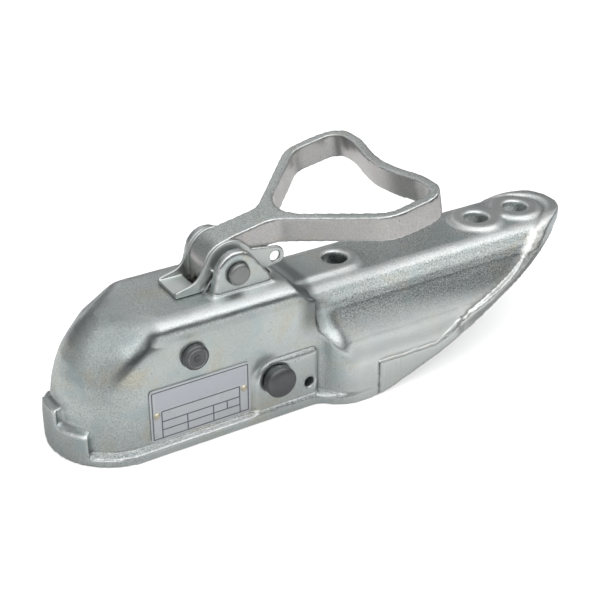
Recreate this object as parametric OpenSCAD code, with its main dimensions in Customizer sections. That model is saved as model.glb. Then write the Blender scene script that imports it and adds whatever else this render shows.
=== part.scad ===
// Trailer coupling head for a 50 mm tow ball, forged in one piece with a bolt-on wing behind it.
// X runs from the nose to the tail, Z is up, and the origin is the ball axis at the bottom flange.

/* [Head] */
// Width of the head across its side walls
head_w = 62; // [60:1:70]
// Height of the flat roof above the bottom flange
head_h = 67; // [65:1:74]
// Radius that rounds the roof into the side walls
roof_r = 12; // [9:1:15]
// Thickness of the roof
roof_t = 7; // [5:0.5:8]
// Thickness of the side walls
wall = 6.5; // [5:0.5:7]
// Height at which the nose starts to curve in
nose_z = 14; // [12:1:22]
// Distance behind the ball axis at which the roof's corners start to curve down to the nose
roof_start = 17; // [14:0.5:20]
// Radius of the swell on each side of the nose
swell_r = 14; // [12:0.5:15]
// Distance of the centre of each swell behind the ball axis
swell_x = 3; // [0:0.5:6]
// Height of the centre of each swell above the bottom flange
swell_z = 47; // [44:0.5:49]
// Distance behind the ball axis at which the head ends
head_end = 97; // [96:1:104]
// Radius of the hollow that drops from the roof to the wing
scoop_r = 12; // [10:0.5:14]
// How far the bottom flange stands out of the walls
flange_out = 4; // [2:0.5:6]
// Height of the bottom flange
flange_h = 5; // [3:0.5:8]
// Height of the trimmed band round the nose
band_h = 17; // [10:1:22]
// Half the angle that the nose band covers
band_angle = 44; // [30:1:60]
// Height of the lug at the very front of the band
lug_h = 25; // [18:1:28]
// Half the angle that the front lug covers
lug_angle = 13; // [8:1:20]
// Width of the slot that the lever passes through the roof in
slot_w = 17.2; // [16.8:0.2:20]

/* [Ball] */
// Diameter of the tow ball
ball_d = 50; // [48:0.5:50.8]
// Clearance between the ball and its seat
ball_gap = 0.3; // [0.1:0.1:0.6]
// Height of the ball centre above the bottom flange
ball_z = 26; // [24:0.5:28]
// Radius by which the mouth of the socket opens out
mouth_out = 3.7; // [2:0.1:5]
// Depth of the bevel round the mouth
mouth_h = 5; // [3:0.5:8]

/* [Wing] */
// Width of the wing across its skirt
wing_w = 89.6; // [82:0.8:96]
// Height of the top of the wing
wing_top = 58; // [55:0.5:60]
// Thickness of the wing's shell
wing_t = 6; // [4:0.5:7]
// Distance of the tip behind the ball axis
tip_x = 271; // [268:1:290]
// Radius of the tip in plan
tip_r = 19; // [14:1:26]
// Distance behind the ball axis at which the sides start to curve in
taper_x = 163; // [150:1:175]
// Length over which the neck flares out to the skirt
flare_len = 24; // [20:1:30]
// Radius of the hollow in the neck
neck_r = 10; // [7:0.5:12]
// Half the width of the wing's flat top
crest_half = 14; // [11:0.5:16]
// Radius of the shoulder beside the flat top
shoulder_r = 10; // [8.5:0.5:12]
// Radius of the hollow flank under the shoulder
flank_r = 45; // [35:1:60]
// Radius that turns the flank down into the skirt
skirt_r = 22.6; // [18:0.4:26]
// Height of the centre of that radius
skirt_z = 18.5; // [15:0.5:22]
// Height by which the rim stands proud of the flank
rim_h = 1.5; // [0.6:0.1:2]
// Width of the raised rim
rim_w = 6; // [3:0.25:7]
// Distance by which the skirt wall is set back from the rim
rim_step = 0.9; // [0.6:0.1:2]
// Distance behind the ball axis at which the rim rises off the bottom flange
rim_x = 125; // [122:1:132]
// Height of the trimmed band at the front of the rim
rim_top = 19.7; // [16:0.5:24]
// Slope of the lower edge of the skirt, as rise over run
rim_slope = 0.34; // [0.3:0.01:0.36]

/* [Bolt holes] */
// Diameter of the bolt holes, for M12 bolts
bolt_hole = 13; // [12.5:0.1:14]
// Distance of the front bolt hole behind the ball axis
bolt_front = 126.5; // [124:0.5:130]
// Distance of the middle bolt hole behind the ball axis
bolt_mid = 218; // [214:0.5:222]
// Distance between the two rear bolt holes
bolt_gap = 27; // [26:0.5:30]
// Height of the machined pads above the wing
pad_h = 2; // [1:0.2:2.4]
// Radius of the pads round the rear holes
pad_r = 14; // [12:0.5:16]
// Half the width of the tongue that carries the front hole
tongue_r = 13; // [11:0.5:14.5]

/* [Lever] */
// Distance of the lever pin behind the ball axis
lever_x = 60.5; // [58:0.5:63]
// Height of the lever pin above the bottom flange
lever_z = 77; // [75:0.5:80]
// Radius of the lever's hub
hub_r = 13; // [11.5:0.5:13]
// Width of the lever's hub and stem
hub_w = 15.8; // [14:0.2:16.4]
// Tilt of the handle at rest
lever_tilt = 10; // [6:1:14]
// Height of the handle's strap
strap_h = 13.6; // [11:0.2:15]
// Thickness of the handle's strap
strap_t = 5.3; // [4:0.1:7]
// Distance from the lever pin to the handle's crossbar
loop_len = 104; // [96:1:112]
// Half the width of the handle's loop
loop_half = 49.5; // [42:0.5:56]
// Distance from the lever pin to the point where the arms leave the stem
fork_x = 27.5; // [25:0.5:32]
// Depth by which the crossbar bows in towards the pin
crossbar_in = 7; // [3:0.5:10]
// Distance from the lever pin to the drive pin
tail_r = 22; // [21:0.5:23]
// Radius of the end of the tail
tail_end_r = 6.5; // [5.5:0.5:7]
// Angle that the lever turns through
lever_turn = 60; // [50:1:62]

/* [Ears and catch] */
// Thickness of each ear
ear_t = 5.6; // [4.5:0.1:7]
// Distance between the ears
ear_gap = 24.8; // [24:0.2:27]
// Radius of the top of each ear
ear_r = 11; // [9.5:0.5:12.5]
// Length of the ears where they meet the roof
ear_len = 39; // [34:1:42]
// Thickness of the catch's sheet
sheet_t = 1.8; // [1.2:0.1:2.4]
// Clearance on each side of the hub inside the catch
side_gap = 0.25; // [0.15:0.05:0.5]
// Radius of the catch's cheeks
cheek_r = 13.3; // [12:0.1:14.5]
// Distance from the lever pin to the front edge of the catch
catch_front = 29.5; // [27:0.5:33]
// Length of the catch's floor plate
catch_floor = 12.5; // [9:0.5:14]
// Height of the cheeks beside the floor plate
catch_lip = 5.5; // [4:0.5:8]
// Distance from the lever pin to the hole in the catch's tab
tab_x = 25; // [23:0.5:28]
// Radius of the end of the tab
tab_r = 5.3; // [4.6:0.1:6.5]
// Diameter of the hole in the tab
tab_hole = 5.5; // [4:0.1:6.5]

/* [Pins] */
// Diameter of the lever pin and of the jaw pin
pin_d = 10; // [8:0.2:10.4]
// Diameter of the abutment pin
big_pin_d = 14; // [12:0.2:15]
// Diameter of the drive pin in the lever's tail
drive_pin_d = 7; // [6:0.2:7.4]
// Clearance on the radius between a pin and its hole
fit_gap = 0.05; // [0.03:0.01:0.08]
// Diameter of the head of the lever pin
lever_head_d = 11; // [10.8:0.2:14]
// Thickness of the head of the lever pin
lever_head_t = 2.8; // [2:0.2:4.4]
// Diameter of the head of the jaw pin
jaw_head_d = 13; // [11.4:0.2:15]
// Thickness of the head of the jaw pin
jaw_head_t = 3.6; // [2.4:0.2:5]
// Diameter of the head of the abutment pin
big_head_d = 16.4; // [15.6:0.2:20]
// Thickness of the head of the abutment pin
big_head_t = 5.4; // [4:0.2:7]
// Length of the abutment pin seen between the boss and its head
big_neck = 2.2; // [1:0.2:4]
// Thickness of the washers of the lever pin and the jaw pin
pin_washer_t = 1.2; // [0.8:0.2:2]
// Width of the washers of the lever pin and the jaw pin
pin_washer_w = 3.6; // [2.4:0.2:4.4]
// Thickness of the washer of the abutment pin
big_washer_t = 2; // [1:0.2:3]
// Width of the washer of the abutment pin
big_washer_w = 4.5; // [3:0.25:5]
// Distance of the jaw pin behind the ball axis
jaw_pin_x = 29; // [28:0.5:31]
// Height of the jaw pin above the bottom flange
jaw_pin_z = 48; // [46.5:0.5:49]
// Distance of the abutment pin behind the ball axis
big_pin_x = 72; // [71:0.5:74]
// Height of the abutment pin above the bottom flange
big_pin_z = 22.5; // [20:0.5:24]
// Thickness of the raised boss round the abutment pin
boss_t = 2; // [1:0.2:3]
// Distance of the small side hole behind the ball axis
side_hole_x = 91.6; // [90:0.2:92]
// Height of the small side hole above the bottom flange
side_hole_z = 13; // [11:0.5:16]
// Diameter of the small side hole
side_hole_d = 5.9; // [4:0.1:7]

/* [Jaw and cam] */
// Width of the ball jaw
jaw_w = 44; // [36:1:47]
// Radius of the boss round the jaw's bore
jaw_boss_r = 9; // [7.5:0.5:9.5]
// Distance of the jaw's rear face behind the ball axis
jaw_back = 37.6; // [36.5:0.1:38.5]
// Height of the jaw's lower edge
jaw_low = 8; // [6:0.5:10]
// Width of the locking cam's body
cam_w = 24; // [18:1:28]
// Width of the cam's fork arm
arm_w = 6.4; // [5:0.2:7]
// Radius of the cam's hub
cam_hub_r = 13; // [11:0.5:14]
// Clearance between the cam and the jaw at rest
cam_gap = 0.3; // [0.2:0.05:0.5]
// Radius that the cam's face loses per degree
cam_fall = 0.14; // [0.13:0.005:0.16]
// Angle that the cam's face covers
cam_face = 36; // [34:1:40]

/* [Springs] */
// Diameter of the cam spring's wire
cam_wire = 2.5; // [1.8:0.1:2.6]
// Number of turns of the cam spring
cam_turns = 3.25; // [3.25, 4.25]
// Diameter of the catch spring's wire
catch_wire = 1; // [0.6:0.1:1.1]

/* [Type plate] */
// Length of the type plate
plate_len = 53.6; // [44:0.2:56]
// Height of the type plate
plate_w = 28.6; // [20:0.2:29]
// Thickness of the type plate
plate_t = 0.8; // [0.5:0.1:1.2]
// Gap between the type plate and the boss behind it
plate_gap = 2.5; // [1.5:0.25:4]
// Height of the plate's lower edge
plate_z = 7.2; // [6.5:0.1:7.6]
// Diameter of the plate's rivets
rivet_d = 3.6; // [2.6:0.1:4.2]

/* [Hidden] */
$fn = 96;

eps = 0.01;
over = 1;
far = 400;
steel = [0.72, 0.75, 0.76];
dark_steel = [0.40, 0.41, 0.42];
plate_grey = [0.78, 0.79, 0.80];

head_half = head_w / 2;
head_in = head_half - wall;
roof_in = head_h - roof_t;
flange_r = head_half + flange_out;
socket_r = ball_d / 2 + ball_gap;
dome_h = head_h - 1;
dome_rings = 9;
channel_x = 8;

wing_half = wing_w / 2;
skirt_half = wing_half - rim_step + 0.1;
neck_half = head_half - 0.6;
flare_x = head_end - 5;
tip_c = [tip_x - tip_r, 0];
shoulder_c = [crest_half, wing_top - shoulder_r];
skirt_c = [skirt_half - skirt_r, skirt_z];
flank_c = meet(shoulder_c, shoulder_r + flank_r, skirt_c, skirt_r + flank_r);
flank_a0 = atan2(flank_c.y - shoulder_c.y, flank_c.x - shoulder_c.x);
flank_a1 = atan2(flank_c.y - skirt_c.y, flank_c.x - skirt_c.x);
scoop_x = head_end + 1.5;
bolt_rear = bolt_mid + bolt_gap;
bolt_xs = [bolt_front, bolt_mid, bolt_rear];

lever_at = [lever_x, 0, lever_z];
cam_at = [big_pin_x, 0, big_pin_z];
jaw_at = [jaw_pin_x, 0, jaw_pin_z];
hub_half = hub_w / 2;
stem_half = hub_half - 0.2;
cheek_in = hub_half + side_gap;
cheek_out = cheek_in + sheet_t;
ear_in = ear_gap / 2;
ear_out = ear_in + ear_t;
boss_y = head_half + boss_t;
boss_x0 = big_pin_x - 11.5;
boss_h = big_pin_z + 8.5;
boss_r = 12;
plate_x = boss_x0 - plate_gap - plate_len;

// The tail swings by the same angle to each side of the line from the lever pin to the cam.
line_a = atan2(big_pin_z - lever_z, big_pin_x - lever_x);
tail_a = line_a - lever_turn / 2;
tail_at = [lever_x + tail_r * cos(tail_a), lever_z + tail_r * sin(tail_a)];
arm_vec = tail_at - [big_pin_x, big_pin_z];
arm_a = atan2(arm_vec.y, arm_vec.x);
pin_line = norm([lever_x - big_pin_x, lever_z - big_pin_z]);
arm_tip = pin_line - hub_r - 1.2;
arm_slot_r = drive_pin_d / 2 + 0.9;
arm_slot_low = pin_line - tail_r - 0.4;
arm_half = arm_slot_r + 3;
tail_gap = arm_w + 0.8;
cam_r = big_pin_x - jaw_back - cam_gap;
web_r = cam_r - 9;
slot_x0 = lever_x - hub_r - 2;
slot_x1 = lever_x + 22.9;
spacer_r = 10.5;
spring_r = spacer_r + cam_wire / 2 + 0.2;
step_x = big_pin_x + spring_r + cam_wire / 2 + 0.3;
spacer_y0 = cam_w / 2 + 0.2;
spacer_y1 = head_in - 0.2;
peg_r = 2;
peg_at = 23;
peg_a = 159;

// Points along an arc from angle a0 to angle a1.
function arc(c, r, a0, a1, n = 8) =
    [for (i = [0:n]) let (a = a0 + (a1 - a0) * i / n) [c.x + r * cos(a), c.y + r * sin(a)]];
// The right-hand meeting point of two circles, going from p to q.
function meet(p, rp, q, rq) =
    let (d = norm(q - p), a = (rp * rp - rq * rq + d * d) / (2 * d), u = (q - p) / d)
    p + u * a + [-u.y, u.x] * sqrt(rp * rp - a * a);
function mirrored(pts) = concat(pts, [for (i = [len(pts) - 1:-1:0]) [-pts[i].x, pts[i].y]]);
function flipped(pts) = concat(pts, [for (i = [len(pts) - 1:-1:0]) [pts[i].x, -pts[i].y]]);
function unit(v) = v / norm(v);

// One corner of an outline, rounded with the radius that it carries as its third value.
function corner(p, q, r) =
    let (u = unit([p.x - q.x, p.y - q.y]), v = unit([r.x - q.x, r.y - q.y]), h = acos(u * v) / 2)
    q[2] == 0 ? [[q.x, q.y]] :
    let (c = [q.x, q.y] + unit(u + v) * q[2] / sin(h), s = [q.x, q.y] + u * q[2] / tan(h),
        e = [q.x, q.y] + v * q[2] / tan(h), a0 = atan2(s.y - c.y, s.x - c.x),
        da = atan2(e.y - c.y, e.x - c.x) - a0, turn = da > 180 ? da - 360 : da < -180 ? da + 360 : da)
    arc(c, q[2], a0, a0 + turn, 7);
function rounded(pts) = let (n = len(pts))
    [for (i = [0:n - 1]) each corner(pts[(i + n - 1) % n], pts[i], pts[(i + 1) % n])];

// Where two edges of an outline cross once each is moved in by d; the outline runs clockwise.
function edge_n(p, q) = let (u = unit([q.x - p.x, q.y - p.y])) [u.y, -u.x];
function cross_at(p, n, q, m) = let (k = n.x * m.y - n.y * m.x, a = p * n, b = q * m)
    [(a * m.y - b * n.y) / k, (b * n.x - a * m.x) / k];
function inset(pts, d, rs) = let (n = len(pts))
    [for (i = [0:n - 1]) let (o = pts[(i + n - 1) % n], p = pts[i], q = pts[(i + 1) % n],
        n0 = edge_n(o, p), n1 = edge_n(p, q), b = [p.x, p.y],
        c = cross_at(b + n0 * d, n0, b + n1 * d, n1)) [c.x, c.y, rs[i]]];

// The point where the tangent from q touches a circle, on the left or right side of the line.
function touch(q, c, r, side) =
    let (d = norm(c - q), a = atan2(c.y - q.y, c.x - q.x), b = asin(r / d), l = sqrt(d * d - r * r))
    q + l * [cos(a + side * b), sin(a + side * b)];

// Extrusions of an outline drawn in the X and Z plane, and of one drawn in the Y and Z plane.
module along_y(w, y = 0) {
    translate([0, y, 0]) rotate([90, 0, 0]) linear_extrude(w, center = true) children();
}
module along_x(x0, x1) {
    translate([x0, 0, 0]) rotate([90, 0, 90]) linear_extrude(x1 - x0) children();
}
module rod(at, r, y0, y1) {
    translate([at.x, y1, at.z]) rotate([90, 0, 0]) cylinder(r = r, h = y1 - y0);
}
module cone(at, r0, r1, y0, y1) {
    translate([at.x, y0, at.z]) rotate([-90, 0, 0]) cylinder(r1 = r0, r2 = r1, h = y1 - y0);
}

// Cross-section of the wing, d inside its outer face: crest, shoulder, hollow flank and skirt.
function wing_section(d) = mirrored(concat(
    arc(shoulder_c, shoulder_r - d, 90, flank_a0, 7),
    arc(flank_c, flank_r + d, flank_a0 + 180, flank_a1 + 180, 6),
    arc(skirt_c, skirt_r - d, flank_a1, 0, 7),
    [[skirt_half - d, -over]]));

// Plan of the wing: the neck flares out from y0 to half, and the sides taper to a tip of radius r.
function flare_pts(y0, half) =
    let (a = 2 * atan((half - y0) / flare_len), c = flare_len / sin(a) - neck_r)
    concat([[flare_x - 6, y0]], arc([flare_x, y0 + neck_r], neck_r, -90, -90 + a, 6),
        arc([flare_x + flare_len, half - c], c, 90 + a, 90, 7));
function taper_pts(half, r) =
    let (l = tip_c.x - taper_x, big = (l * l + half * half - r * r) / (2 * (half - r)),
        a = atan2(big - half, l))
    concat(arc([taper_x, half - big], big, 90, a, 14), arc(tip_c, r, a, 0, 8));
function wing_plan(y0, half, r) = flipped(concat(flare_pts(y0, half), taper_pts(half, r)));

module lower_cut() {
    run = tip_x - 4 - taper_x;
    low = rim_slope * (taper_x - rim_x);
    high = wing_top - wing_t - low;
    along_y(far) polygon([
        [rim_x - 9, -over - 3], [rim_x - 2, 0], [rim_x + 8, 1.6], [taper_x, low],
        [taper_x + 0.14 * run, low + 0.17 * high], [taper_x + 0.4 * run, low + 0.45 * high],
        [taper_x + 0.7 * run, low + 0.7 * high], [taper_x + 0.92 * run, low + 0.9 * high],
        [taper_x + run, low + high], [tip_x + 9, low + high], [tip_x + 9, -over - 3]]);
}

module wing_shell() {
    skirt = wing_half - rim_step;
    intersection() {
        along_x(flare_x - 5, tip_x + over) polygon(wing_section(0));
        linear_extrude(far) polygon(wing_plan(neck_half - rim_step, skirt, tip_r - rim_step));
    }
    intersection() {
        along_x(rim_x, tip_x + 2 * over) polygon(wing_section(-rim_h));
        linear_extrude(far) difference() {
            polygon(wing_plan(neck_half, wing_half, tip_r));
            polygon(wing_plan(neck_half - rim_step, skirt - 0.15, tip_r - rim_w));
        }
        along_y(far) polygon([[rim_x, 0], [rim_x, rim_top - 1.5], [rim_x + 2, rim_top],
            [taper_x, rim_top], [taper_x + 22, rim_top + 11], [taper_x + 44, far], [far, far], [far, 0]]);
    }
    intersection() {
        linear_extrude(flange_h) polygon(wing_plan(flange_r, wing_half, tip_r));
        translate([flare_x - 5, -far / 2, 0]) cube([taper_x - flare_x, far, far]);
    }
    for (x = [bolt_mid, bolt_rear]) translate([x, 0, wing_top - 2]) cylinder(r = pad_r, h = pad_h + 2);
    translate([bolt_front, 0, wing_top - 2]) cylinder(r = tongue_r, h = pad_h + 2);
    translate([head_end - 2, -tongue_r, wing_top - 2])
        cube([bolt_front - head_end + 2, 2 * tongue_r, pad_h + 2]);
}

module head_block() {
    hull() {
        cylinder(r = head_half, h = nose_z, $fn = 72);
        for (i = [1:dome_rings]) let (a = 88 * i / dome_rings)
            translate([0, 0, nose_z + (dome_h - nose_z) * sin(a)])
                cylinder(r = head_half * cos(a), h = eps, $fn = 72);
        for (s = [-1, 1]) translate([swell_x, s * (head_half - swell_r - 2), swell_z])
            sphere(swell_r, $fn = 32);
        for (s = [-1, 1]) translate([roof_start, s * (head_half - roof_r), head_h - roof_r])
            rotate([0, 90, 0]) {
                sphere(roof_r, $fn = 40);
                cylinder(r = roof_r, h = head_end - roof_start, $fn = 40);
            }
        translate([0, -head_half, 0]) cube([head_end, head_w, nose_z]);
    }
}

module pie(r, a) {
    intersection() {
        circle(r);
        polygon([[0, 0], [-far * cos(a), far * sin(a)], [-far, far * sin(a)], [-far, -far * sin(a)],
            [-far * cos(a), -far * sin(a)]]);
    }
}

module head_flange() {
    linear_extrude(flange_h) {
        circle(flange_r);
        translate([0, -flange_r]) square([flare_x - 1, 2 * flange_r]);
    }
    linear_extrude(band_h) pie(flange_r, band_angle);
    linear_extrude(lug_h) pie(flange_r, lug_angle);
}

module ear_outline() {
    p = [lever_x, lever_z];
    front = [lever_x - ear_len * 0.38, head_h - 4];
    rear = [lever_x + ear_len * 0.62, head_h - 4];
    a = touch(front, p, ear_r, 1) - p;
    b = touch(rear, p, ear_r, -1) - p;
    polygon(concat([front], arc(p, ear_r, atan2(a.y, a.x), atan2(b.y, b.x), 20), [rear]));
}

module boss_outline() {
    polygon(rounded([[boss_x0, 0, 0], [boss_x0, boss_h, boss_r], [head_end - 1, boss_h, 1.5],
        [head_end - 1, 0, 0]]));
}

module socket_hollow() {
    rotate_extrude() {
        intersection() {
            translate([0, ball_z]) circle(socket_r);
            translate([0, ball_z]) square(2 * socket_r);
        }
        translate([0, -over]) square([socket_r, ball_z + over]);
        polygon([[0, -over], [socket_r + mouth_out, -over], [socket_r + mouth_out, 0],
            [socket_r, mouth_h], [0, mouth_h]]);
    }
}

module channel_hollow() {
    r = roof_r - wall;
    inner = wing_t + rim_step;
    along_x(channel_x, step_x) polygon(mirrored(concat(
        arc([head_in - r, roof_in - r], r, 90, 0, 5), [[head_in, -over]])));
    intersection() {
        along_x(step_x - over, tip_x + 2 * over) polygon(wing_section(wing_t));
        linear_extrude(far, center = true) {
            polygon(flipped(concat([[step_x - over, neck_half - inner]],
                flare_pts(neck_half - inner, wing_half - inner), [[tip_x + 2 * over, wing_half - inner]])));
            translate([taper_x - 20, -wing_half]) square([tip_x, wing_w]);
        }
    }
}

module housing() {
    color(steel) difference() {
        union() {
            difference() {
                head_block();
                rod([scoop_x, 0, wing_top + scoop_r], scoop_r, -far / 2, far / 2);
            }
            wing_shell();
            head_flange();
            for (s = [-1, 1]) {
                along_y(ear_t, s * (ear_in + ear_t / 2)) ear_outline();
                along_y(boss_t + 2, s * (boss_y - boss_t / 2 - 1)) boss_outline();
            }
        }
        socket_hollow();
        channel_hollow();
        lower_cut();
        translate([slot_x0, -slot_w / 2, roof_in - 2]) cube([slot_x1 - slot_x0, slot_w, roof_t + 4]);
        rod(lever_at, pin_d / 2 + fit_gap, -far / 2, far / 2);
        rod(jaw_at, pin_d / 2 + fit_gap, -far / 2, far / 2);
        rod(cam_at, big_pin_d / 2 + fit_gap, -far / 2, far / 2);
        rod([side_hole_x, 0, side_hole_z], side_hole_d / 2, -far / 2, far / 2);
        for (x = bolt_xs) translate([x, 0, -over]) cylinder(d = bolt_hole, h = far);
    }
}

// Outline of the handle in its own plane: stem, two splayed arms and a crossbar that bows in.
module handle_outline() {
    rise = loop_half - stem_half;
    half = [[hub_r * 0.55, stem_half, 0], [fork_x, stem_half, 12],
        [fork_x + rise, loop_half, loop_half * 0.4], [loop_len, loop_half, loop_half * 0.26],
        [loop_len - 0.3, loop_half * 0.57, loop_half * 0.52]];
    bow = [loop_len - crossbar_in, 0, loop_half];
    loop = concat([[fork_x - stem_half, 0, 0]], [for (i = [2:4]) half[i]], [bow],
        [for (i = [4:-1:2]) [half[i].x, -half[i].y, 0]]);
    radii = [20, 14, 8, 24, 55, 24, 8, 14] * loop_half / 49.5;
    difference() {
        polygon(rounded(concat(half, [bow], [for (i = [4:-1:0]) [half[i].x, -half[i].y, half[i][2]]])));
        polygon(rounded(inset(loop, strap_t, radii)));
    }
}

module tail_outline() {
    p = [lever_x, lever_z];
    d = norm(tail_at - p);
    b = acos((hub_r - tail_end_r) / d);
    u = atan2(tail_at.y - p.y, tail_at.x - p.x);
    polygon(concat(arc(p, hub_r, u + b, u + 360 - b, 42), arc(tail_at, tail_end_r, u - b, u + b, 16)));
}

module lever() {
    color(steel) difference() {
        union() {
            along_y(hub_w) tail_outline();
            translate(lever_at) rotate([0, -lever_tilt, 0]) linear_extrude(strap_h) handle_outline();
        }
        along_y(tail_gap) difference() {
            translate([lever_x - far / 2, lever_z - far - hub_r * 0.6]) square([far, far]);
            translate([lever_x, lever_z]) circle(hub_r + 0.4);
        }
        rod(lever_at, pin_d / 2 + fit_gap, -far / 2, far / 2);
        rod([tail_at.x, 0, tail_at.y], drive_pin_d / 2 + fit_gap, -far / 2, far / 2);
    }
}

module drive_pin() {
    color(dark_steel) rod([tail_at.x, 0, tail_at.y], drive_pin_d / 2, -hub_half, hub_half);
}

// A headed pin whose far end is spread over a washer, seated on faces at -y and +y.
module headed_pin(at, d, head_d, y, head_t, neck, washer_t) {
    r = d / 2;
    rod(at, r, -y - neck - eps, y + washer_t + eps);
    rod(at, head_d / 2, -y - neck - head_t * 0.75, -y - neck);
    cone(at, head_d / 2 - 1, head_d / 2, -y - neck - head_t, -y - neck - head_t * 0.75);
    cone(at, r + 1.4, r + 0.4, y + washer_t, y + washer_t + 1.8);
}
module washer(at, d, out, y, t) {
    difference() {
        rod(at, d / 2 + out, y, y + t);
        rod(at, d / 2 + fit_gap, y - over, y + t + over);
    }
}

module lever_pin() {
    color(dark_steel) headed_pin(lever_at, pin_d, lever_head_d, ear_out, lever_head_t, 0, pin_washer_t);
}
module lever_pin_washer() {
    color(steel) washer(lever_at, pin_d, pin_washer_w, ear_out, pin_washer_t);
}
module jaw_pin() {
    color(dark_steel) difference() {
        headed_pin(jaw_at, pin_d, jaw_head_d, head_half, jaw_head_t, 0, pin_washer_t);
        cone(jaw_at, 1.8, 0.6, -head_half - jaw_head_t - eps, -head_half - jaw_head_t + 1);
    }
}
module jaw_pin_washer() {
    color(steel) washer(jaw_at, pin_d, pin_washer_w, head_half, pin_washer_t);
}
module abutment_pin() {
    color(dark_steel) headed_pin(cam_at, big_pin_d, big_head_d, boss_y, big_head_t, big_neck, big_washer_t);
}
module abutment_pin_washer() {
    color(steel) washer(cam_at, big_pin_d, big_washer_w, boss_y, big_washer_t);
}

// Folded from one sheet: a floor plate on the roof and two cheeks, the near one with a tab.
module cheek_outline(with_tab) {
    p = [lever_x, lever_z];
    low = head_h + 0.2;
    x0 = lever_x - catch_front;
    step = catch_floor * 0.9;
    difference() {
        union() {
            translate(p) circle(cheek_r);
            polygon(rounded([[x0, low, 0], [x0, low + sheet_t + 1, 1], [x0 + step, low + catch_lip, 9],
                [lever_x - cheek_r * 0.93, lever_z + 5, 0], [lever_x, lever_z, 0], [lever_x, low, 0]]));
            if (with_tab) tab_outline();
        }
        translate([x0 - over, low - far]) square(far);
        polygon([[lever_x - 2, low - far], [lever_x - 2, low], [lever_x, low],
            [lever_x + far, low + far * tan(9)], [lever_x + far, low - far]]);
        if (with_tab) translate([lever_x + tab_x, lever_z - 1.2]) circle(d = tab_hole);
    }
}
module tab_outline() {
    q = [lever_x + tab_x, lever_z - 1.2];
    a = [lever_x + 8, lever_z + 7];
    b = [lever_x + 10, lever_z - 6.4];
    translate(q) circle(tab_r);
    polygon([a, touch(a, q, tab_r, 1), q, touch(b, q, tab_r, -1), b]);
}
module safety_catch() {
    floor_z = head_h + 0.2;
    color(steel) difference() {
        union() {
            along_y(sheet_t, -(cheek_in + sheet_t / 2)) cheek_outline(true);
            along_y(sheet_t, cheek_in + sheet_t / 2) cheek_outline(false);
            translate([lever_x - catch_front, -cheek_in - eps, floor_z])
                cube([catch_floor, 2 * (cheek_in + eps), sheet_t]);
        }
        rod(lever_at, pin_d / 2 + fit_gap, -far / 2, far / 2);
    }
}

// Round wire swept along points that lie near one plane across Y.
function wire_ring(p, t, r, n) = let (u = unit(cross(t, [0, 1, 0])), v = cross(u, t))
    [for (k = [0:n - 1]) p + r * (u * cos(360 * k / n) + v * sin(360 * k / n))];
module wire(path, r, n = 8) {
    m = len(path);
    pts = [for (i = [0:m - 1]) let (a = path[max(i - 1, 0)], b = path[min(i + 1, m - 1)])
        each wire_ring(path[i], unit(b - a), r, n)];
    sides = [for (i = [0:m - 2]) for (k = [0:n - 1])
        [i * n + k, (i + 1) * n + k, (i + 1) * n + (k + 1) % n, i * n + (k + 1) % n]];
    polyhedron(pts, concat([[for (k = [0:n - 1]) k]], sides,
        [[for (k = [n - 1:-1:0]) (m - 1) * n + k]]));
}
function coil(at, r, y0, pitch, a0, turns, n) =
    [for (i = [0:n]) let (a = a0 + 360 * turns * i / n)
        [at.x + r * cos(a), y0 + pitch * turns * i / n, at.z + r * sin(a)]];

module cam_spring() {
    r = spring_r;
    y0 = spacer_y0 + cam_wire / 2 + 0.2;
    pitch = (spacer_y1 - cam_wire / 2 - y0 - 0.3) / cam_turns;
    turns = coil(cam_at, r, y0, pitch, 90, cam_turns - 0.5, round(cam_turns * 14));
    last = turns[len(turns) - 1];
    front = [cam_at.x - peg_at - 1, y0, cam_at.z + r];
    top = [last.x, last.y, roof_in - 4.5];
    color(dark_steel) wire(concat([front], turns, [top]), cam_wire / 2);
}

module catch_spring() {
    r = pin_d / 2 + catch_wire / 2 + 0.5;
    y0 = -cheek_out - catch_wire / 2 - 0.15;
    room = ear_in - cheek_out - catch_wire - 0.3;
    turns = coil(lever_at, r, y0, -room / 1.75, 230, 1.75, 26);
    last = turns[len(turns) - 1];
    foot = [lever_x - 0.54 * catch_front, y0 - room, head_h + catch_wire / 2 + 0.1];
    lift = [lever_x - cheek_r * 0.8, y0, lever_z + 1];
    color(steel) wire(concat([lift], turns, [foot]), catch_wire / 2);
}

// The jaw closes the socket behind the ball and hangs on the jaw pin.
module jaw_outline() {
    p = [jaw_pin_x, jaw_pin_z];
    rest = [jaw_back - 2.2, jaw_pin_z - 10];
    polygon(rounded(concat([[11.5, jaw_low + 9, 2], [11.5, jaw_pin_z + 1, 3]],
        [for (q = arc(p, jaw_boss_r, 118, -15, 14)) [q.x, q.y, 0]],
        [[rest.x, rest.y, 3], [jaw_back - 2.2, big_pin_z + 5, 1], [jaw_back, big_pin_z + 1.5, 1],
        [jaw_back, jaw_low + 4, 3], [jaw_back - 6, jaw_low, 2], [14, jaw_low, 1]])));
}
module ball_jaw() {
    color(steel) difference() {
        along_y(jaw_w) jaw_outline();
        translate([0, 0, ball_z]) sphere(socket_r);
        rod(jaw_at, pin_d / 2 + fit_gap, -far / 2, far / 2);
    }
}

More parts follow.
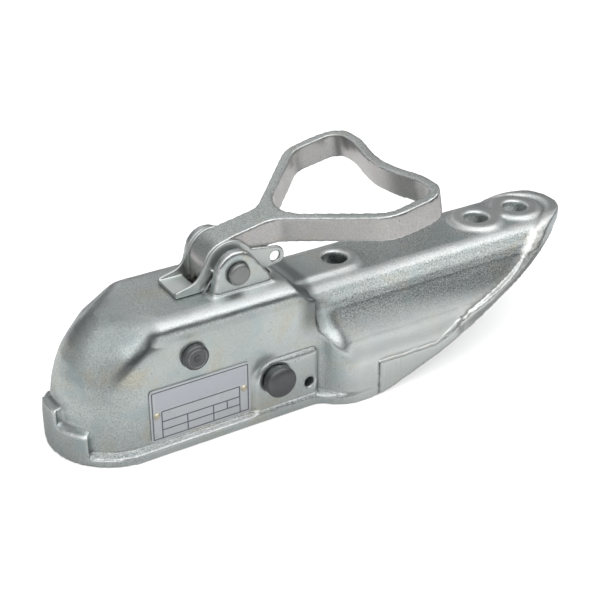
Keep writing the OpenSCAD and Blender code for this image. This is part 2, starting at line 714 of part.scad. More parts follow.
// The cam is an eccentric sector on the abutment pin, with a fork arm that the drive pin moves.
module cam_outline() {
    p = [big_pin_x, big_pin_z];
    face = [for (i = [0:12]) let (a = 179 + cam_face * i / 12, r = cam_r - cam_fall * (a - 180))
        p + r * [cos(a), sin(a)]];
    translate(p) circle(cam_hub_r);
    polygon(concat([p, p + (web_r - 4) * [cos(arm_a), sin(arm_a)]],
        [for (a = [arm_a + 12:8:172]) p + web_r * [cos(a), sin(a)]], face));
}
module arm_outline() {
    translate([big_pin_x, big_pin_z]) rotate(arm_a - 90) difference() {
        intersection() {
            polygon([[-cam_hub_r + 2, 0], [-arm_half, arm_slot_low], [-arm_half, arm_tip + over],
                [arm_half, arm_tip + over], [arm_half, arm_slot_low], [cam_hub_r - 2, 0]]);
            circle(arm_tip);
        }
        translate([0, arm_slot_low]) circle(arm_slot_r);
        translate([-arm_slot_r, arm_slot_low]) square([2 * arm_slot_r, far]);
    }
}
module locking_cam() {
    color(steel) difference() {
        union() {
            along_y(cam_w) cam_outline();
            along_y(arm_w) arm_outline();
            rod(cam_at + peg_at * [cos(peg_a), 0, sin(peg_a)], peg_r, 0, cam_w / 2 + 4);
        }
        rod(cam_at, big_pin_d / 2 + fit_gap, -far / 2, far / 2);
    }
}
module cam_spacers() {
    color(steel) for (s = [-1, 1]) difference() {
        rod(cam_at, spacer_r, s > 0 ? spacer_y0 : -spacer_y1, s > 0 ? spacer_y1 : -spacer_y0);
        rod(cam_at, big_pin_d / 2 + fit_gap, -far / 2, far / 2);
    }
}

module type_plate() {
    x1 = plate_x + plate_len;
    z1 = plate_z + plate_w;
    color(plate_grey) difference() {
        along_y(plate_t, -head_half - plate_t / 2) polygon(rounded([[plate_x, plate_z, 2],
            [plate_x, z1, 2], [x1, z1, 2], [x1, plate_z, 2]]));
        for (q = rivet_spots) rod([q.x, 0, q.y], rivet_d * 0.3 + fit_gap, -far / 2, 0);
    }
}
rivet_spots = [[plate_x + 3.4, plate_z + plate_w / 2], [plate_x + plate_len - 3.4, plate_z + plate_w / 2]];
module plate_rivets() {
    y = -head_half - plate_t;
    color(dark_steel) for (q = rivet_spots) {
        rod([q.x, 0, q.y], rivet_d * 0.3, y - eps, -head_half);
        cone([q.x, 0, q.y], rivet_d / 2 - 0.6, rivet_d / 2, y - 0.8, y);
    }
}

housing();
lever();
lever_pin();
lever_pin_washer();
safety_catch();
catch_spring();
ball_jaw();
jaw_pin();
jaw_pin_washer();
locking_cam();
abutment_pin();
abutment_pin_washer();
cam_spacers();
cam_spring();
drive_pin();
type_plate();
plate_rivets();
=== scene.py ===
# %% Trailer coupling head: load the frame
import math

import bpy
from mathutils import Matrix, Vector


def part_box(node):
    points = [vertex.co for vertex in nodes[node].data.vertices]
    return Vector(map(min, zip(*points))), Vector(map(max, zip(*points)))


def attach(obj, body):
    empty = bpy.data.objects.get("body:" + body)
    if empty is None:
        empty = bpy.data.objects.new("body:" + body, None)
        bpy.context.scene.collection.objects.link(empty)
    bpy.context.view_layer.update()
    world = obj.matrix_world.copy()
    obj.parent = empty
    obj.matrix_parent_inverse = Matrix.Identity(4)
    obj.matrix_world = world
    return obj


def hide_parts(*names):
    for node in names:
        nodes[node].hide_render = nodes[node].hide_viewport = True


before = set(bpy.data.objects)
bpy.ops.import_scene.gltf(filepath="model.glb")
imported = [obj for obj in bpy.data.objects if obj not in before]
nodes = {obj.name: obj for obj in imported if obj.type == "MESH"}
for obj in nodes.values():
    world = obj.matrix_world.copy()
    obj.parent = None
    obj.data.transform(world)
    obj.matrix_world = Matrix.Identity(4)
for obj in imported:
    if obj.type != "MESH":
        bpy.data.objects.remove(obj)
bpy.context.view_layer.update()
MM = 0.001

# %% [markdown]
# ## Adding shader nodes
# Every finish of the coupling is made of shader nodes. They could be added and linked one by one, but
# that takes four lines for each sum. So one function adds any node: it takes the node's type, its
# settings, which are set first, and the values or links of its sockets.


# %% One way to add a node
def add_node(tree, kind, settings=None, values=None):
    n = tree.nodes.new(kind)
    for key, value in (settings or {}).items():
        setattr(n, key, value)
    for key, value in (values or {}).items():
        if isinstance(value, Sock):
            tree.links.new(value.out, n.inputs[key])
        else:
            n.inputs[key].default_value = value
    return n


# %% [markdown]
# ## Shader maths as plain sums
# A small class wraps the output of a node, so that `1 - mask * 0.5` adds its own Math nodes. `step` is
# a soft threshold: 0 below the first value, 1 above the second. `band` is 1 between two such steps.


# %% A socket that can be added and multiplied
class Sock:
    def __init__(self, tree, out):
        self.tree, self.out = tree, out

    def maths(self, operation, *args):
        n = add_node(self.tree, "ShaderNodeMath", {"operation": operation}, dict(enumerate(args)))
        return Sock(self.tree, n.outputs[0])

    def __add__(self, b):
        return self.maths("ADD", self, b)

    def __sub__(self, b):
        return self.maths("SUBTRACT", self, b)

    def __mul__(self, b):
        return self.maths("MULTIPLY", self, b)

    def __truediv__(self, b):
        return self.maths("DIVIDE", self, b)

    def __rsub__(self, a):
        return self.maths("SUBTRACT", a, self)

    __radd__ = __add__
    __rmul__ = __mul__

    def __abs__(self):
        return self.maths("ABSOLUTE", self)

    def root(self):
        return self.maths("SQRT", self)

    def at_least(self, b):
        return self.maths("MAXIMUM", self, b)

    def at_most(self, b):
        return self.maths("MINIMUM", self, b)

    def step(self, lo, hi):
        values = {"Value": self, "From Min": lo, "From Max": hi}
        n = add_node(self.tree, "ShaderNodeMapRange", {"interpolation_type": "SMOOTHSTEP"}, values)
        return Sock(self.tree, n.outputs["Result"])

    def band(self, rise_from, rise_to, fall_from, fall_to):
        return self.step(rise_from, rise_to) * (1 - self.step(fall_from, fall_to))

    def split(self):
        n = add_node(self.tree, "ShaderNodeSeparateXYZ", values={"Vector": self})
        return [Sock(self.tree, n.outputs[axis]) for axis in "XYZ"]


# %% [markdown]
# ## One material, with its coordinates
# All looks read Object coordinates. The finished pieces sit at the origin, so these are places on the
# coupling in metres, and a mask such as `x.step(0.100, 0.118)` finds the wing. The normal tells walls
# from tops.


# %% A material with its helpers
class Look:
    def __init__(self, name):
        self.mat = bpy.data.materials.new(name)
        self.mat.use_nodes = True
        self.tree = self.mat.node_tree
        self.bsdf = self.tree.nodes["Principled BSDF"]
        coords = add_node(self.tree, "ShaderNodeTexCoord")
        self.place = Sock(self.tree, coords.outputs["Object"])
        self.x, self.y, self.z = self.place.split()
        self.ny, self.nz = Sock(self.tree, coords.outputs["Normal"]).split()[1:]

    def get(self, kind, out=0, settings=None, values=None):
        return Sock(self.tree, add_node(self.tree, kind, settings, values).outputs[out])

    def stretched(self, by):
        return self.get("ShaderNodeVectorMath", 0, {"operation": "MULTIPLY"}, {0: self.place, 1: by})

    def noise(self, scale, detail=4.0, rough=0.55, at=None, warp=0.0):
        values = {"Vector": at or self.place, "Scale": scale, "Detail": detail, "Roughness": rough,
                  "Distortion": warp}
        return self.get("ShaderNodeTexNoise", values=values)

    def cells(self, scale):
        return self.get("ShaderNodeTexVoronoi", values={"Vector": self.place, "Scale": scale})

    def edges(self, lo, hi):
        return self.get("ShaderNodeNewGeometry", "Pointiness").step(lo, hi)

    def mix(self, share, a, b):
        a, b = [c if isinstance(c, Sock) else (*c, 1.0) for c in (a, b)]
        return self.get("ShaderNodeMix", 2, {"data_type": "RGBA"}, {0: share, 6: a, 7: b})

    def bump(self, height, depth, strength=1.0, under=None):
        values = {"Height": height, "Distance": depth, "Strength": strength}
        if under:
            values["Normal"] = under
        return self.get("ShaderNodeBump", "Normal", values=values)

    def done(self, colour, rough, metal, normal=None):
        self.bsdf.inputs["Metallic"].default_value = metal
        for key, value in (("Base Color", colour), ("Roughness", rough), ("Normal", normal)):
            if isinstance(value, Sock):
                self.tree.links.new(value.out, self.bsdf.inputs[key])
            elif value is not None:
                self.bsdf.inputs[key].default_value = value
        return self.mat


# %% [markdown]
# ## Zinc on a forging
# The housing and the lever are drop forged and then zinc plated. The plating is bright and a little
# blue, with yellow stains and a pink film where it has aged. One flat colour would look like plastic,
# so two wide noises drift between a dull and a bright zinc and lay the stains over it.

# %% Colour of the plating
ZINC_DULL, ZINC_BRIGHT = (0.54, 0.59, 0.575), (0.65, 0.70, 0.69)
YELLOW_STAIN, PINK_FILM, BLUE_FILM = (0.62, 0.57, 0.42), (0.68, 0.58, 0.61), (0.47, 0.575, 0.60)


def plating(k, drift, pink):
    stain = k.noise(42, 4, 0.6, warp=0.6)
    colour = k.mix(drift.step(0.3, 0.7), ZINC_DULL, ZINC_BRIGHT)
    colour = k.mix(stain.step(0.52, 0.70) * 0.55, colour, YELLOW_STAIN)
    return k.mix((1 - stain).step(0.55, 0.75) * pink, colour, PINK_FILM)


# %% [markdown]
# ## Grain from the die
# Faces that met the forging die are grainy, and the zinc makes the grain sparkle. Real bumps of that
# size would need millions of faces. A fine noise darkens the pits and lightens the peaks instead, and
# the same noise goes to a shallow bump. `grain` says how much of it a place gets.

# %% Pits, peaks and specks
DARK_PIT, LIGHT_PEAK, SPECK = (0.17, 0.18, 0.19), (0.97, 0.98, 0.98), (0.18, 0.18, 0.17)
GRAIN_DEPTH = 0.20 * MM


def grainy(k, colour, salt, grain):
    specks = (1 - k.cells(330).step(0.06, 0.15)) * k.noise(90, 2).step(0.48, 0.58)
    colour = k.mix(specks * 0.65, colour, SPECK)
    pits = salt.step(0.50, 0.64) * (0.10 + 0.55 * grain).at_most(0.85)
    peaks = (1 - salt).step(0.52, 0.66) * (0.05 + 0.45 * grain).at_most(0.8)
    return k.mix(peaks, k.mix(pits, colour, DARK_PIT), LIGHT_PEAK)


def grain_bump(k, salt, grain, under=None):
    return k.bump((salt + k.noise(600, 2, 0.5) * 0.4) * grain, GRAIN_DEPTH, under=under)


# %% [markdown]
# ## Rubbed edges and painted shade in hollows
# Handling rubs edges bright, and the hollows get a painted shade. Painting that by hand would not
# follow a changed shape. The geometry's pointiness finds both: high on an edge, low in a hollow.

# %% Wear and painted shade in hollows
RUBBED, HOLLOW_SHADE = (0.93, 0.94, 0.94), (0.16, 0.16, 0.15)


def rubbed_edges(k):
    return k.edges(0.51, 0.55)


def with_wear_and_hollow_shade(k, colour, worn):
    # Painted shade in the hollows, where the pointiness is low.
    hollow_shade = 1 - k.edges(0.45, 0.495)
    return k.mix(hollow_shade * 0.6, k.mix(worn * 0.65, colour, RUBBED), HOLLOW_SHADE)


def zinc_roughness(k, drift, worn):
    return 0.26 + 0.08 * k.noise(120, 3) + 0.05 * drift - 0.05 * worn


# %% [markdown]
# ## The lever's zinc
# The lever's strap has smooth, slightly pink sides and a grainy top edge. It could share the housing's
# material, but that one paints places on the housing. So the lever takes the plating, the grain, the
# wear and the painted shade in the hollows in a short recipe of its own.


# %% Lever look
def lever_zinc():
    k = Look("forged_zinc_lever")
    up = k.nz.step(0.30, 0.75)
    side = 1 - abs(k.nz).step(0.25, 0.6)
    grain = 0.25 + 0.60 * up
    drift = k.noise(22, 2)
    salt = k.noise(1400, 3, 0.7)
    colour = k.mix(side * 0.55, plating(k, drift, 0.45), (0.50, 0.44, 0.44))
    worn = rubbed_edges(k)
    colour = with_wear_and_hollow_shade(k, grainy(k, colour, salt, grain), worn)
    return k.done(colour, zinc_roughness(k, drift, worn), 0.95, grain_bump(k, salt, grain))


zinc_lever = lever_zinc()
print("lever look:", zinc_lever.name)

# %% [markdown]
# ## Places on the housing
# The housing is one piece, but its grain and its tones differ from place to place: smooth side walls,
# a rough flange, a very grainy wing. Vertex paint would have to be redone for every mesh. Masks made
# from the height, the length and the normal stay true, so each place gets a name here.

# %% Masks on the housing
HEAD_FROM, HEAD_TO, WING_FROM = (-0.004, 0.012), (0.094, 0.102), (0.100, 0.118)
FLANGE_TOP, LOW_FLANK = (0.0068, 0.0080), (0.032, 0.043)


def mark_places(k):
    k.up = k.nz.step(0.30, 0.75)
    k.side = 1 - abs(k.nz).step(0.25, 0.6)
    k.sideways = abs(k.ny).step(0.35, 0.6)
    k.wing = k.x.step(*WING_FROM)
    k.head_wall = k.side * k.x.band(*HEAD_FROM, *HEAD_TO)
    k.flange = (1 - k.z.step(*FLANGE_TOP)) * k.up * (1 - k.wing)
    k.low_flank = k.wing * k.sideways * (1 - k.z.step(*LOW_FLANK))
    k.roof_edge = (1 - k.wing) * k.sideways * k.x.step(0.004, 0.012)


# %% [markdown]
# ## Painted light and shade on the head
# The roof runs into the side walls over a tight curve, which shows as a bright line with a thin dark
# line below it, and a diagonal crease runs down the nose from the front end of that line. The dome is
# darker, and the head's rear end is dark where it turns in towards the wing. A reflection alone makes
# these too wide, so they are painted as a highlight and as shade: by the slope, and for the crease by
# the distance from a line. The head's upward faces get a painted shade too.

# %% Head
CREASE_AT, CREASE_SLOPE = (0.013, 0.0640), 0.92


def head_light_and_shade(k, colour):
    # Masks for a painted highlight on the roof's edge and for painted shade on the dome, under the
    # edge, along the crease and at the rear end.
    shine = k.nz.band(0.68, 0.78, 0.985, 0.999) * k.x.step(0.000, 0.016)
    shine = shine * (1 - k.wing * (1 - k.z.step(0.050, 0.054)))
    dome_shade = (1 - k.x.step(0.000, 0.020)) * k.nz.step(0.40, 0.65)
    shade = k.roof_edge * k.nz.band(0.53, 0.60, 0.66, 0.73)
    crease_shade = abs(k.z - CREASE_AT[1] - (k.x - CREASE_AT[0]) * CREASE_SLOPE)
    crease_shade = (1 - crease_shade.step(0.0010, 0.0045)) * k.sideways * k.x.band(-0.014, -0.005, 0.010, 0.016)
    rear_end = k.x.band(0.084, 0.093, 0.100, 0.104) * k.z.step(0.036, 0.050)
    # Painted highlight, then painted shade; the last mix is a painted shade on the head's upward faces.
    colour = k.mix(shine * 0.5, colour, (0.92, 0.93, 0.93))
    colour = k.mix(dome_shade * 0.30, colour, (0.30, 0.33, 0.34))
    colour = k.mix(shade * (0.2 + 0.4 * k.noise(70, 3).step(0.35, 0.65)), colour, (0.12, 0.13, 0.14))
    colour = k.mix(crease_shade * 0.75, colour, (0.10, 0.11, 0.12))
    colour = k.mix(rear_end * 0.72, colour, (0.12, 0.13, 0.13))
    return k.mix(k.up * (1 - k.wing) * 0.28, colour, (0.34, 0.37, 0.38))


# %% [markdown]
# ## Painted light and shade on the wing, and its rim
# Below the wing's shoulder lies a grainy trough with a painted shade that widens towards the tip, and
# the flank under it is smooth and gets a painted light. The pads round the bolt holes are smooth and
# lighter. A raised rim, rubbed nearly white, follows the outline. The rim could be a strip of its own;
# a mask by the distance from the outline's arc, which is one large circle, gives the same tone on one
# closed mesh.

# %% Wing
OUTLINE_CENTRE, OUTLINE_RADIUS = (0.163, -0.1406), 0.1854
PAD_TOP = (0.0591, 0.0596)


def wing_light_shade_and_rim(k, colour, salt):
    widening = k.z + (k.x - 0.13).at_least(0.0) * 0.10
    trough_shade = k.wing * k.sideways * widening.step(0.040, 0.046) * (1 - k.z.step(0.047, 0.051))
    along, across = k.x - OUTLINE_CENTRE[0], abs(k.y) - OUTLINE_CENTRE[1]
    inset = OUTLINE_RADIUS - (along * along + across * across).root()
    rim = inset.band(0.0002, 0.0010, 0.0052, 0.0070) * k.nz.step(0.15, 0.45)
    rim = rim * k.x.band(0.172, 0.184, 0.255, 0.263)
    # Painted light on the lower flank and painted shade in the trough; the pads are made lighter and
    # the rim is rubbed.
    colour = k.mix(k.low_flank * 0.6, colour, (0.86, 0.89, 0.88))
    colour = k.mix(trough_shade * (0.25 + 0.35 * salt.step(0.40, 0.60)), colour, (0.12, 0.13, 0.14))
    colour = k.mix(k.wing * k.z.step(*PAD_TOP) * 0.35, colour, (0.86, 0.88, 0.87))
    return k.mix(rim * (0.25 + 0.40 * k.noise(300, 3).step(0.35, 0.65)), colour, (0.95, 0.95, 0.92))


# %% [markdown]
# ## Slopes of the flank and the roof's edge
# The wing's lower flank stands almost upright and the roof's edge is tight. The skin's grid softens
# both, so a wide bump leans the shading of those strips back to where the forging has it. It changes
# no outline, which the solids already give.

# %% Wide bumps
FLANK_LEAN, EDGE_LEAN = 19.2 * MM, 3.2 * MM


def lean(k):
    hang = k.z.step(0.022, 0.040) * 0.42 + k.z.step(0.033, 0.047) * 0.58 - k.z.step(0.049, 0.054) * 0.03
    n = k.bump(hang, FLANK_LEAN, k.x.step(0.103, 0.114) * k.sideways)
    edge = k.roof_edge * (1 - k.x.step(0.088, 0.094))
    return k.bump(k.z.step(0.0565, 0.0645), EDGE_LEAN, edge, under=n)


# %% [markdown]
# ## Marks of the trimming press
# The press that trims the flash leaves upright lines on the nose band and on the wing's skirt, under a
# jagged bead where the metal was torn. Modelling each line would take far more faces than the housing
# has. A noise that is stretched upright makes the lines, and a strip round the band's wavy top edge
# makes the bead. The front end of the skirt's band gets a painted shade.

# %% Press lines
BAND_TOP, BAND_RISE_FROM, NOSE_RADIUS = 0.0192, 0.161, (0.0330, 0.0338)
SKIRT_FROM, SKIRT_TO = (0.1250, 0.1265), (0.174, 0.180)


def press_marks(k, colour, n):
    lines = k.noise(800, 3, 0.7, at=k.stretched((1, 1, 0.03)))
    nose = (1 - k.x.step(-0.014, -0.006)) * (1 - k.z.step(0.0235, 0.0255))
    nose = nose * (k.x * k.x + k.y * k.y).root().step(*NOSE_RADIUS)
    top = BAND_TOP + (k.x - BAND_RISE_FROM).at_least(0.0) * 0.5 + k.noise(160, 2) * 0.0012
    skirt = abs(k.y).step(0.036, 0.039) * k.x.band(*SKIRT_FROM, *SKIRT_TO)
    below = 1 - (k.z - top).step(-0.0004, 0.0004)
    bead = 1 - abs(k.z - top).step(0.0002, 0.0009)
    # Painted shade at the front end of the skirt's band.
    front = below * k.side * k.x.band(0.1242, 0.1250, 0.1256, 0.1274)
    colour = k.mix(bead * skirt * k.side * 0.7, colour, (0.94, 0.94, 0.90))
    colour = k.mix(front * k.noise(260, 3).step(0.25, 0.60) * 0.6, colour, (0.20, 0.20, 0.19))
    n = k.bump((below + bead * 0.6) * skirt, 1.0 * MM, under=n)
    n = k.bump(lines * (nose + below * skirt).at_most(1.0) * k.side, 0.6 * MM, 0.8, under=n)
    return colour, n


# %% [markdown]
# ## The housing's zinc
# The recipe in one place: plating, grain, a blue film, coarse grain on the flange, the painted light
# and shade of head and wing, wear with painted shade in the hollows, painted shade at the band's front
# end, and the bumps from wide to fine. The order matters, because each layer covers the one before it.


# %% Housing look
def housing_zinc():
    k = Look("forged_zinc")
    mark_places(k)
    grain = 0.50 + 0.45 * k.wing + 0.30 * k.up - 0.40 * k.head_wall + k.flange - 0.70 * k.low_flank
    drift = k.noise(22, 2)
    salt = k.noise(1400, 3, 0.7)
    colour = grainy(k, plating(k, drift, 0.12), salt, grain)
    colour = k.mix(k.noise(60, 4, 0.6, warp=0.5).step(0.50, 0.66) * 0.45, colour, BLUE_FILM)
    coarse = k.noise(700, 2, 0.6)
    colour = k.mix(coarse.step(0.54, 0.60) * k.flange * 0.55, colour, (0.20, 0.20, 0.19))
    colour = k.mix((1 - coarse).step(0.54, 0.60) * k.flange * 0.55, colour, (0.97, 0.97, 0.95))
    colour = wing_light_shade_and_rim(k, head_light_and_shade(k, colour), salt)
    rear_end = k.x.band(0.090, 0.094, 0.101, 0.105) * k.z.step(0.030, 0.034)
    worn = rubbed_edges(k) * (1 - rear_end)
    n = grain_bump(k, salt, grain, under=lean(k))
    colour, n = press_marks(k, with_wear_and_hollow_shade(k, colour, worn), n)
    return k.done(colour, zinc_roughness(k, drift, worn), 0.95, n)


zinc = housing_zinc()
print("housing look:", zinc.name, "with", len(zinc.node_tree.nodes), "nodes")

# %% [markdown]
# ## The smooth parts
# The catch is plated sheet, the pins are dark or bare steel, the springs are drawn wire and the hidden
# pieces are machined. A material for each could be built apart, but they differ in numbers only. So
# they share one recipe: a colour that drifts, edges rubbed bright, and a fine grain along the piece.


# %% Plain metals
def metal(name, dark, light, rough, fine=0.04 * MM, stretch=(1, 1, 1), rubbed=(0.85, 0.86, 0.86)):
    k = Look(name)
    drift = k.noise(90, 4)
    line = k.noise(900, 3, 0.6, at=k.stretched(stretch))
    spots = (1 - k.cells(380).step(0.06, 0.16)) * k.noise(120, 2).step(0.5, 0.65)
    colour = k.mix(spots * 0.4, k.mix(drift, dark, light), tuple(v * 0.35 for v in dark))
    worn = k.edges(0.52, 0.60)
    colour = k.mix(worn * 0.5, colour, rubbed)
    n = k.bump(line, fine, 0.7, under=k.bump(k.noise(260, 3), fine * 4, 0.5))
    return k.done(colour, rough + 0.14 * drift + 0.05 * line - 0.08 * worn, 0.9, n)


sheet = metal("zinc_sheet", (0.52, 0.56, 0.55), (0.72, 0.75, 0.73), 0.24)
bare_pin = metal("bare_steel", (0.24, 0.25, 0.25), (0.38, 0.39, 0.38), 0.30, rubbed=(0.62, 0.63, 0.62))
dark_pin = metal("dark_steel", (0.10, 0.105, 0.11), (0.20, 0.205, 0.21), 0.34, fine=0.06 * MM,
                 rubbed=(0.45, 0.46, 0.47))
machined = metal("machined_steel", (0.34, 0.35, 0.36), (0.50, 0.51, 0.52), 0.30, stretch=(1, 0.1, 1))
spring_wire = metal("spring_steel", (0.42, 0.43, 0.44), (0.62, 0.63, 0.64), 0.28)
brass = metal("rivet_metal", (0.50, 0.46, 0.34), (0.66, 0.60, 0.44), 0.32)
print("plain metals:", [m.name for m in (sheet, bare_pin, dark_pin, machined, spring_wire, brass)])

# %% [markdown]
# ## The type plate
# A thin aluminium plate is riveted to the near wall. It keeps only its ruled boxes: a border, an empty
# heading and rows of empty boxes. An image would do it too, but lines worked out from the plate's own
# width and height stay sharp and need no file.

# %% Ruled lines, each as where it lies and its two ends, in shares of the plate
LINE_HALF = 0.40 * MM
ACROSS = [(0.045, 0.02, 0.98), (0.955, 0.02, 0.98), (0.56, 0.11, 0.89), (0.36, 0.11, 0.89),
          (0.20, 0.11, 0.89)]
UPRIGHT = [(0.022, 0.045, 0.955), (0.978, 0.045, 0.955), (0.11, 0.045, 0.56), (0.89, 0.045, 0.56),
           (0.36, 0.045, 0.36), (0.62, 0.045, 0.36), (0.76, 0.20, 0.36)]


def span(s, a, b):
    return s.band(a, a + 0.002, b, b + 0.002)


def ruled(s, along, half, lines):
    ink = None
    for at, a, b in lines:
        line = (1 - abs(s - at).step(half * 0.6, half)) * span(along, a, b)
        ink = line if ink is None else ink.at_least(line)
    return ink


# %% Plate look
def plate_look():
    k = Look("type_plate")
    lo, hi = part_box("type_plate")
    wide, high = hi.x - lo.x, hi.z - lo.z
    u, v = (k.x - lo.x) / wide, (k.z - lo.z) / high
    ink = ruled(v, u, LINE_HALF / high, ACROSS).at_least(ruled(u, v, LINE_HALF / wide, UPRIGHT))
    face = 1 - k.ny.step(-0.9, -0.6)
    drift = k.noise(70, 4)
    colour = k.mix(drift, (0.60, 0.63, 0.66), (0.74, 0.76, 0.78))
    colour = k.mix(span(v, 0.60, 0.93) * span(u, 0.05, 0.95) * 0.35, colour, (0.52, 0.57, 0.66))
    colour = k.mix(k.noise(300, 3).step(0.55, 0.7) * 0.25, colour, (0.50, 0.50, 0.48))
    colour = k.mix(ink * face * 0.85, colour, (0.07, 0.08, 0.11))
    colour = k.mix((1 - face) * 0.6, colour, (0.20, 0.21, 0.22))
    n = k.bump(k.noise(700, 3) + ink * -0.6, 0.05 * MM, 0.6)
    return k.done(colour, 0.34 + 0.16 * drift, 0.55, n)


plate = plate_look()
print("plate look:", plate.name, "with", len(ACROSS) + len(UPRIGHT), "ruled lines")

# %% [markdown]
# ## Handing a piece over
# A new piece takes its material, rides on the body that moves it and hides the CAD node it stands
# for. Modifiers are applied by operator, and an operator acts on all that is selected, so one piece is
# selected alone first.


# %% Select, apply and hand over
def only(o):
    bpy.ops.object.select_all(action="DESELECT")
    o.select_set(True)
    bpy.context.view_layer.objects.active = o


def apply_all(o):
    only(o)
    for m in list(o.modifiers):
        bpy.ops.object.modifier_apply(modifier=m.name)


def hand_over(o, body, mat, node):
    o.data.materials.clear()
    o.data.materials.append(mat)
    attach(o, body)
    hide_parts(node)


# %% [markdown]
# ## Forged and folded skins
# A forging has no sharp edge, and its faces are a little wavy. Bevelling every edge of the CAD mesh
# would fail on its long thin triangles. So a copy of the mesh is merged, remeshed into an even grid
# and smoothed, which rounds all edges alike, and a cloud texture displaces it by a few tenths of a
# millimetre. A pad is a block that is added before the remesh, which then melts it in.


# %% Skin of a CAD node
def skin(node, voxel, rounds, wave, body, mat, pads=()):
    o = bpy.data.objects.new(node + "_skin", nodes[node].data.copy())
    bpy.context.scene.collection.objects.link(o)
    only(o)
    bpy.ops.object.mode_set(mode="EDIT")
    bpy.ops.mesh.select_all(action="SELECT")
    bpy.ops.mesh.remove_doubles(threshold=0.02 * MM)
    bpy.ops.mesh.normals_make_consistent(inside=False)
    for at, size, tilt in pads:
        bpy.ops.mesh.primitive_cube_add(size=1, location=Vector(at) * MM, scale=Vector(size) * MM,
                                        rotation=(0, -math.radians(tilt), 0))
    bpy.ops.object.mode_set(mode="OBJECT")
    grid = o.modifiers.new("grid", "REMESH")
    grid.mode, grid.voxel_size, grid.adaptivity = "VOXEL", voxel * MM, 0.0
    soft = o.modifiers.new("soft", "SMOOTH")
    soft.factor, soft.iterations = 0.5, rounds
    if wave:
        clouds = bpy.data.textures.new(node + "_wave", "CLOUDS")
        clouds.noise_scale, clouds.noise_depth = 0.009, 2
        push = o.modifiers.new("wave", "DISPLACE")
        push.texture, push.strength, push.mid_level = clouds, wave * MM, 0.5
        push.texture_coords = "LOCAL"
    apply_all(o)
    bpy.ops.object.shade_smooth()
    print(" ", o.name, sum(len(p.vertices) - 2 for p in o.data.polygons), "triangles")
    hand_over(o, body, mat, node)


# %% [markdown]
# ## Housing, lever and catch
# The large housing takes the coarsest grid, which keeps it under 200,000 triangles, and the thin sheet
# of the catch the finest. The top of the lever's stem runs out over the hub as a tangent: a pad fills
# the step that the solid has there.

# %% Three skins
STEM_PAD = ((62.1, 0, 88.3), (9.1, 15.6, 5), 14.9)
skin("housing", 1.08, 6, 0.25, "head", zinc)
skin("lever", 0.75, 6, 0.30, "lever", zinc_lever, pads=[STEM_PAD])
skin("safety_catch", 0.40, 3, 0, "catch", sheet)

# %% [markdown]
# ## Turned pins
# The pins are turned on a lathe, so the same is done here. A cylinder with bevels would give plain
# heads only. One point is extruded along half of the pin's outline, the outline is spun round the
# pin's axis, and a bevel rounds the corners that are left.


# %% A lathe
def turned(name, at, profile, mat, node, round_by=0.25):
    bpy.ops.object.select_all(action="DESELECT")
    bpy.ops.mesh.primitive_plane_add(size=MM, location=(0, 0, 0))
    o = bpy.context.active_object
    o.name = o.data.name = name
    outline = [Vector((at[0] + r, at[1] + y, at[2])) * MM for r, y in profile]
    bpy.ops.object.mode_set(mode="EDIT")
    bpy.ops.mesh.select_all(action="SELECT")
    bpy.ops.mesh.merge(type="CENTER")
    bpy.ops.transform.translate(value=outline[0])
    for a, b in zip(outline, outline[1:]):
        bpy.ops.mesh.extrude_region_move(TRANSFORM_OT_translate={"value": b - a})
    bpy.ops.mesh.select_all(action="SELECT")
    bpy.ops.mesh.spin(steps=64, angle=2 * math.pi, center=Vector(at) * MM, axis=(0, 1, 0))
    bpy.ops.mesh.select_all(action="SELECT")
    bpy.ops.mesh.remove_doubles(threshold=0.005 * MM)
    bpy.ops.mesh.normals_make_consistent(inside=False)
    bpy.ops.object.mode_set(mode="OBJECT")
    bevel = o.modifiers.new("round", "BEVEL")
    bevel.width, bevel.segments, bevel.limit_method = round_by * MM, 3, "ANGLE"
    bevel.angle_limit = math.radians(25)
    apply_all(o)
    bpy.ops.object.shade_smooth_by_angle(angle=math.radians(30))
    print(" ", name, len(o.data.polygons), "faces")
    hand_over(o, "head", mat, node)


# %% [markdown]
# ## Three pins
# Each outline is a list of radius and place along the pin, in millimetres from the near head to the
# spread far end. The jaw pin's head has a ring and a dimple, the lever pin's a plain bevel, and the
# abutment pin's is large and domed.

# %% Pins
LEVER_AXIS, JAW_AXIS, CAM_AXIS = (60.5, 0, 77), (29, 0, 48), (72, 0, 22.5)
turned("jaw_pin_turned", JAW_AXIS, [
    (0, -33.7), (0.7, -33.7), (1.9, -34.4), (4.4, -34.6), (4.7, -34.2), (5.0, -34.6), (5.5, -34.5),
    (6.5, -33.7), (6.5, -31), (5.0, -31), (5.0, 32.2), (6.3, 32.2), (5.6, 33.8), (0, 34.0)],
    dark_pin, "jaw_pin")
turned("lever_pin_turned", LEVER_AXIS, [
    (0, -20.8), (4.5, -20.8), (5.5, -20.1), (5.5, -18), (5.0, -18), (5.0, 19.2), (6.3, 19.2),
    (5.6, 20.8), (0, 21.0)], bare_pin, "lever_pin")
turned("abutment_pin_turned", CAM_AXIS, [
    (0, -40.6), (4.5, -40.5), (7.0, -39.8), (8.2, -38.8), (8.2, -35.2), (7.0, -35.2), (7.0, 35.0),
    (8.3, 35.0), (7.5, 36.7), (0, 36.8)], dark_pin, "abutment_pin", round_by=0.35)

# %% [markdown]
# ## Springs
# A spring is one wire of constant thickness: a coil with a leg at each end. A screw modifier makes the
# coil but not the legs, so the wire's whole path is a curve with a round bevel, made a mesh and closed
# at its ends.


